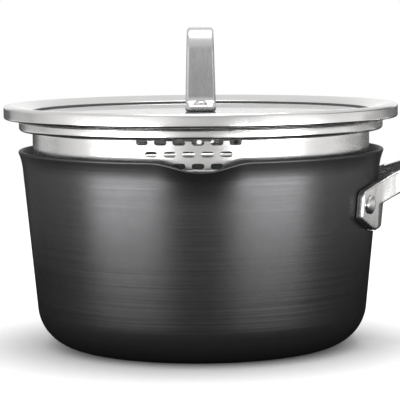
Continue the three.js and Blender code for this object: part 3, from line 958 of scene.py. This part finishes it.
def band_line():
    """The band's outer face from under the seal to its lower edge. The bead rises as cos(pi t / 2) ^ 1.5."""
    bead_height = PAN_HEIGHT - BEAD_DROP
    shoulder = PAN_HEIGHT + SHOULDER_BOTTOM
    straight = 0.5
    bead_reach = inner_radius(bead_height) - GAP - SKIRT_RADIUS
    t = np.linspace(-1, 1, 15)
    bead = np.column_stack([
        SKIRT_RADIUS + bead_reach * np.cos(t * np.pi / 2) ** 1.5,
        bead_height - t * BEAD_HALF_HEIGHT,
    ])
    top = rounded([
        (OPENING_RADIUS, BAND_HIGH[2], 0),
        (SHOULDER_RADIUS, BAND_HIGH[2], SHOULDER_TOP_CORNER),
        (SHOULDER_RADIUS, shoulder, SHOULDER_CORNER),
        (SKIRT_RADIUS, shoulder, SKIRT_ROOT_ROUNDING),
        (SKIRT_RADIUS, bead_height + BEAD_HALF_HEIGHT + straight, 0),
    ], step=math.radians(12))
    plain = np.linspace(top[-2], top[-1], 9)[1:]
    foot = np.linspace([SKIRT_RADIUS, bead[-1, 1] - straight], [SKIRT_RADIUS, BAND_LOW[2]], 3)
    return np.concatenate([top[:-1], plain, bead, foot])


def rows_of(rows, pitch, centre):
    """The (angle, height) places of rows of openings, each row centred on the same angle."""
    places = []
    for row, count in enumerate(rows):
        angle = centre + (np.arange(count) - (count - 1) / 2) * pitch
        height = PAN_HEIGHT + TOP_ROW_HEIGHT - row * ROW_SPACING
        places.append(np.column_stack([angle, np.full(count, height)]))
    return np.concatenate(places)


def strainer_band():
    """Four quarter plates in (distance round the skirt, distance along the section), bent round the axis.

    A point's section place is read from the band's line, w goes along the line's normal, and the two
    perforated quarters have their holes in these flat coordinates.
    """
    line = band_line()
    length = length_along(line)
    first = int(np.argmax(np.abs(line[:, 0] - SKIRT_RADIUS) < TINY))
    skirt_top = length[first] + line[first, 1]
    slot = rounded_bar(SLOT_LENGTH, SLOT_HEIGHT)
    hole = arc(0, 0, HOLE_DIAMETER / 2, 0, TAU, 21)[:-1]
    groups = {
        0: (slot, rows_of(SLOT_ROWS, SLOT_PITCH, -np.pi / 2 + SLOT_TURN)),
        2: (hole, rows_of(HOLE_ROWS, HOLE_PITCH, np.pi / 2 + SLOT_TURN)),
    }

    def place(points):
        along, down, w = points.T
        angle = along / SKIRT_RADIUS
        radius, height = beside(line, down, w)
        return np.column_stack([radius * np.cos(angle), radius * np.sin(angle), height])

    quarters = []
    count = 73
    between = length[1:-1]
    for quarter in range(4):
        start = -0.75 * np.pi + quarter * np.pi / 2
        lines_u = np.linspace(start, start + np.pi / 2, count) * SKIRT_RADIUS
        outline = np.concatenate([
            np.column_stack([lines_u, np.full(count, length[0])]),
            np.column_stack([np.full(len(between), lines_u[-1]), between]),
            np.column_stack([lines_u[::-1], np.full(count, length[-1])]),
            np.column_stack([np.full(len(between), lines_u[0]), between[::-1]]),
        ])
        shape, places = groups.get(quarter, (None, []))
        holes = [shape + [angle * SKIRT_RADIUS, skirt_top - height] for angle, height in places]
        quarters.append(placed(plate(outline, SHEET, 0, lines_u, length, holes), place))
    make_piece("strainer_band", BRUSHED_ROUND, "brushed_steel", "lid", *quarters)


# ---- lid knob and its fixings ----

FOOT_FLOOR = KNOB_LOW[2]
FOOT_TIP_Y = KNOB_HIGH[1]
SCREW_Y = (SCREW_LOW[1] + SCREW_HIGH[1]) / 2


def rounded_box(low_u, high_u, half_v, corner):
    """A rectangle from low_u to high_u and half_v to both sides, with rounded corners."""
    middle = (low_u + high_u) / 2
    return rounded([
        (middle, -half_v, 0),
        (high_u, -half_v, corner),
        (high_u, half_v, corner),
        (low_u, half_v, corner),
        (low_u, -half_v, corner),
        (middle, -half_v, 0),
    ])[:-1]


def lid_knob():
    """The strap: a plate with rounded edges bent along its path in YZ, widening from its top to its feet."""
    half = [
        (FOOT_TIP_Y, FOOT_FLOOR + KNOB_THICKNESS, 0),
        (KNOB_LEG_HALF_SPAN + KNOB_THICKNESS / 2, FOOT_FLOOR + KNOB_THICKNESS, KNOB_FOOT_BEND),
        (KNOB_TOP_HALF_SPAN + KNOB_THICKNESS / 2, KNOB_HIGH[2], KNOB_CORNER),
    ]
    line = rounded([(-y, z, radius) for y, z, radius in half] + half[::-1], step=math.radians(6))
    line = np.concatenate([np.linspace(a, b, 5)[:-1] for a, b in zip(line[:-1], line[1:])] + [line[-1:]])
    gaps = np.hypot(*np.diff(line, axis=0).T)
    line = line[np.concatenate([[True], gaps > TINY])]
    total = length_along(line)[-1]
    half_foot = (KNOB_HIGH[0] - KNOB_LOW[0]) / 2
    lines_u = np.arange(0, total, 1.2)
    lines_v = np.linspace(-half_foot, half_foot, 11)
    narrow = KNOB_TOP_WIDTH / (2 * half_foot)
    outline = rounded_box(0, total, half_foot, KNOB_FOOT_CORNER)

    def place(points):
        along, across, w = points.T
        y, z = beside(line, along, w)
        down = np.clip((KNOB_HIGH[2] - z) / (KNOB_HIGH[2] - FOOT_FLOOR), 0, 1)
        return np.column_stack([across * (narrow + (1 - narrow) * down), y, z])

    outline = even_line(outline, 1.2, closed=True)
    bar = placed(plate(outline, KNOB_THICKNESS, KNOB_EDGE, lines_u, lines_v, edge_steps=6), place)
    make_piece("lid_knob", BRUSHED_UP, "brushed_steel", "lid", bar)


def at_screw(side):
    """A move to the screw's place on one side of the knob."""
    return lambda points: points + [0, side * SCREW_Y, 0]


def knob_screw(label, side):
    """A button-head screw with a round socket sunk in its top."""
    seat = FOOT_FLOOR + KNOB_THICKNESS + TOUCH
    bottom, top = SCREW_LOW[2], SCREW_HIGH[2]
    head = dome(SCREW_HIGH[0], seat, top - seat, 0.5)[:-4]
    socket = [[1.5, head[-1, 1] - 0.1], [1.4, top - 1.3], [0, top - 1.4]]
    profile = np.concatenate([
        [[0, bottom], [SCREW_SHANK_RADIUS, bottom], [SCREW_SHANK_RADIUS, seat]],
        head,
        socket,
    ])
    screw = placed(revolve(profile, turns=48), at_screw(side))
    make_piece(f"knob_screw_{label}", POLISHED, "polished_steel", "lid", screw)


def knob_gasket(label, side):
    """The pad under a foot of the knob, with rounded corners and edges."""
    half_x = (GASKET_HIGH[0] - GASKET_LOW[0]) / 2 - GASKET_INSET
    half_y = (GASKET_HIGH[1] - GASKET_LOW[1]) / 2 - GASKET_INSET
    middle_y = (GASKET_HIGH[1] + GASKET_LOW[1]) / 2
    outline = rounded_box(-half_x, half_x, half_y, GASKET_CORNER)
    lines = np.arange(-10.0, 10.1, 2.5)
    thickness = GASKET_HIGH[2] - GASKET_LOW[2]
    pad = plate(even_line(outline, 1.0, closed=True), thickness, 0.35, lines, lines)
    pad = placed(pad, lambda points: points + [0, side * middle_y, GASKET_LOW[2]])
    make_piece(f"knob_gasket_{label}", SILICONE, "silicone", "lid", pad)


def back_washer(label, side):
    """The soft washer between a cap nut and the glass."""
    low, high = WASHER_LOW[2], WASHER_HIGH[2]
    middle = (low + high) / 2
    outer = WASHER_HIGH[0]
    profile = rounded([
        (outer, middle, 0),
        (outer, high, 0.4),
        (WASHER_HOLE_RADIUS, high, 0.3),
        (WASHER_HOLE_RADIUS, low, 0.3),
        (outer, low, 0.4),
        (outer, middle, 0),
    ], step=math.radians(25))[:-1]
    ring = placed(revolve(profile, turns=64), at_screw(side))
    make_piece(f"back_washer_{label}", SILICONE, "silicone", "lid", ring)


def cap_nut(label, side):
    """A hexagon with a domed cap below it."""
    top = NUT_HIGH[2]
    across = (NUT_HIGH[0] - NUT_LOW[0]) / 2
    overlap = 0.5
    seat = NUT_LOW[2] + NUT_CAP_HEIGHT
    cap_floor = seat + overlap
    hexagon = arc(0, 0, across, 0, TAU, 7)[:-1]
    lines = np.arange(-4.0, 4.1, 2.0)
    prism = plate(even_line(hexagon, 0.9, closed=True), top - seat, 0.3, lines, lines)
    prism = placed(prism, lambda points: points + [0, side * SCREW_Y, seat])
    profile = dome(NUT_CAP_RADIUS, cap_floor, -NUT_CAP_HEIGHT - overlap, 0.3)[::-1]
    profile = np.concatenate([profile, [[0, cap_floor]]])
    profile[0, 0] = 0
    cap = placed(revolve(profile, turns=48), at_screw(side))
    make_piece(f"cap_nut_{label}", POLISHED, "polished_steel", "lid", prism, cap)


# ---- floor, light and camera ----

def floor():
    """A square of paper, in metres, on which the pan stands."""
    half = 1.1
    mesh = bpy.data.meshes.new("floor")
    corners = [(-half, -half, 0), (half, -half, 0), (half, half, 0), (-half, half, 0)]
    mesh.from_pydata(corners, [], [(0, 1, 2, 3)])
    mesh.materials.append(floor_look())
    paper = bpy.data.objects.new("floor", mesh)
    bpy.context.scene.collection.objects.link(paper)


def lamp(name, place, target, size, power):
    """A soft rectangular lamp that faces a point."""
    data = bpy.data.lights.new(name, "AREA")
    data.shape = "RECTANGLE"
    data.size, data.size_y = size
    data.energy = power
    made = bpy.data.objects.new(name, data)
    made.location = place
    made.rotation_euler = (Vector(target) - Vector(place)).to_track_quat("-Z", "Y").to_euler()
    made.visible_camera = False
    bpy.context.scene.collection.objects.link(made)


def ramp(tree, value, stops):
    """A colour ramp from (position, brightness) stops, of which the first two are its lowest and highest."""
    made = add(tree, "ShaderNodeValToRGB", {"Fac": value})
    made.color_ramp.interpolation = "EASE"
    elements = made.color_ramp.elements
    for i, (position, level) in enumerate(stops):
        element = elements[i] if i < 2 else elements.new(position)
        element.position = position
        element.color = grey(level)
    return made.outputs["Color"]


def ramp_round(tree, turn, stops):
    """A ramp from (degrees from the camera's side, brightness) stops, positive to the right."""
    return ramp(tree, turn, [(0.5 + degrees / 360, level) for degrees, level in stops])


def turn_from_front(tree, place):
    """How far round from the camera's side a point or direction lies: 0 to 1, with 0.5 straight in front."""
    parts = add(tree, "ShaderNodeSeparateXYZ", {"Vector": place})
    back = add(tree, "ShaderNodeMath", {0: parts.outputs["Y"], 1: -1.0}, operation="MULTIPLY").outputs[0]
    angle = add(tree, "ShaderNodeMath", {0: parts.outputs["X"], 1: back}, operation="ARCTAN2").outputs[0]
    return add(tree, "ShaderNodeMath", {0: angle, 1: 1 / TAU, 2: 0.5}, operation="MULTIPLY_ADD").outputs[0]


def floor_look():
    """White paper, plain white to the camera. What the pan mirrors of it is painted shade: dark close by, as
    if between black flags, and pale further off.

    PAINTED_FLOOR_NEAR and PAINTED_FLOOR_FAR are its brightness there at the two distances from the pan's
    axis, in metres.
    """
    near_edge, far_edge = 0.25, 0.75
    look, tree = new_material("white_paper_floor_painted_shade")
    place = add(tree, "ShaderNodeTexCoord").outputs["Object"]
    away = add(tree, "ShaderNodeVectorMath", {0: place}, operation="LENGTH").outputs["Value"]
    # Painted shade, seen only in what the pan mirrors: the floor darkens close to the pan and in sectors
    # behind it and straight in front of it.
    near = ramp(tree, away, [(near_edge, PAINTED_FLOOR_NEAR), (far_edge, PAINTED_FLOOR_FAR)])
    sides = ramp_round(tree, turn_from_front(tree, place), PAINTED_FLOOR_SIDES)
    painted_floor_shade = add(tree, "ShaderNodeMix", {
        "Factor": 1.0,
        "A": near,
        "B": sides,
    }, data_type="RGBA", blend_type="MULTIPLY")
    color = add(tree, "ShaderNodeMix", {
        "Factor": add(tree, "ShaderNodeLightPath").outputs["Is Camera Ray"],
        "A": painted_floor_shade.outputs["Result"],
        "B": linear("#f6f6f6"),
    }, data_type="RGBA")
    close(tree, add(tree, "ShaderNodeBsdfPrincipled", {
        "Base Color": color.outputs["Result"],
        "Roughness": 0.9,
        "Specular IOR Level": 0.0,
    }))
    return look


def surround():
    """The studio round the pan, as its surfaces mirror it. To the camera it is plain white.

    Each layer is (how high its blend starts, where it ends, its colour), with heights as the sine of the
    angle above the horizon. It starts from the brightness round the studio below the horizon.
    """
    world = bpy.data.worlds.new("studio_surround")
    world.use_nodes = True
    tree = world.node_tree
    tree.nodes.clear()
    direction = add(tree, "ShaderNodeTexCoord").outputs["Generated"]
    turn = turn_from_front(tree, direction)
    height = add(tree, "ShaderNodeSeparateXYZ", {"Vector": direction}).outputs["Z"]
    color = ramp_round(tree, turn, LOW_STUDIO)
    for start, end, layer in (
        (0.0, 0.06, ramp_round(tree, turn, HIGH_STUDIO)),
        (0.15, 0.4, grey(MIDDLE_STUDIO)),
        (0.65, 0.9, grey(CEILING)),
    ):
        share = add(tree, "ShaderNodeMapRange", {"Value": height, "From Min": start, "From Max": end})
        color = add(tree, "ShaderNodeMix", {
            "Factor": share.outputs["Result"],
            "A": color,
            "B": layer,
        }, data_type="RGBA").outputs["Result"]
    color = add(tree, "ShaderNodeMix", {
        "Factor": add(tree, "ShaderNodeLightPath").outputs["Is Camera Ray"],
        "A": color,
        "B": grey(1.0),
    }, data_type="RGBA")
    sky = add(tree, "ShaderNodeBackground", {"Color": color.outputs["Result"], "Strength": 1.0})
    add(tree, "ShaderNodeOutputWorld", {"Surface": sky.outputs["Background"]})
    bpy.context.scene.world = world


# Brightness round the studio, as (degrees from the camera's side, level), with the two ends first.
LOW_STUDIO = (
    (-180, 0.05), (180, 0.05), (-148, 0.08), (-140, 0.5), (-119, 0.6), (-115, 0.3), (-111, 0.65),
    (-85, 0.95), (-55, 1.1), (-22, 1.08), (-8, 0.85), (10, 0.75), (33, 0.6), (36, 1.08), (108, 1.05),
    (124, 0.5), (142, 0.2),
)
HIGH_STUDIO = (
    (-180, 1.15), (180, 1.15), (-160, 1.0), (-150, 0.5), (-110, 0.7), (-55, 1.2), (-22, 1.1), (-10, 0.35),
    (33, 0.3), (36, 1.0), (60, 0.9), (80, 0.15), (140, 0.12), (160, 1.0),
)
# The floor's painted shade round the pan, in what the pan mirrors: dark behind it and dimmer straight in
# front of it.
PAINTED_FLOOR_SIDES = (
    (-180, 0.03), (180, 0.03), (-147, 0.05), (-138, 0.9), (-30, 1.0), (-12, 0.5), (12, 0.5), (30, 1.0),
    (130, 1.0), (142, 0.05),
)
MIDDLE_STUDIO = 0.85
CEILING = 0.95
# Painted shade: the floor's brightness as the pan mirrors it, close to the pan and further off.
PAINTED_FLOOR_NEAR = 0.01
PAINTED_FLOOR_FAR = 0.8


def stage():
    """A white floor and surround, a lamp overhead, and low wide lamps on the floor beside the camera."""
    surround()
    floor()
    lamp("top_lamp", (0.1, 0.1, 1.6), (0, 0, 0), (0.9, 0.9), 16)
    low = 0.036
    for name, x, y in (("left_lamp", -0.32, -0.33), ("right_lamp", 0.3, -0.35)):
        lamp(name, (x, y, low), (0, 0, low), (0.38, 0.07), 0.95)


def camera():
    """A long lens a little above the lid, turned by half a degree."""
    sideways = -0.0008
    data = bpy.data.cameras.new("camera")
    data.lens = 186.2
    data.sensor_width = 36
    data.clip_end = 50
    made = bpy.data.objects.new("camera", data)
    made.location = (sideways, -1.22, 0.202)
    aim = (Vector((sideways, 0, 0.085)) - made.location).to_track_quat("-Z", "Y")
    made.rotation_euler = aim.to_euler()
    made.rotation_euler.rotate_axis("Z", -0.008)
    bpy.context.scene.collection.objects.link(made)
    bpy.context.scene.camera = made


# ---- build ----

camera()
stage()
bpy.context.scene.view_settings.view_transform = "Standard"

pan_body()
handle()
rivet("handle_rivet_near", -1)
rivet("handle_rivet_far", 1)
lid_rim()
glass_seal()
glass_panel()
strainer_band()
lid_knob()
for label, side in (("front", -1), ("back", 1)):
    knob_screw(label, side)
    knob_gasket(label, side)
    back_washer(label, side)
    cap_nut(label, side)
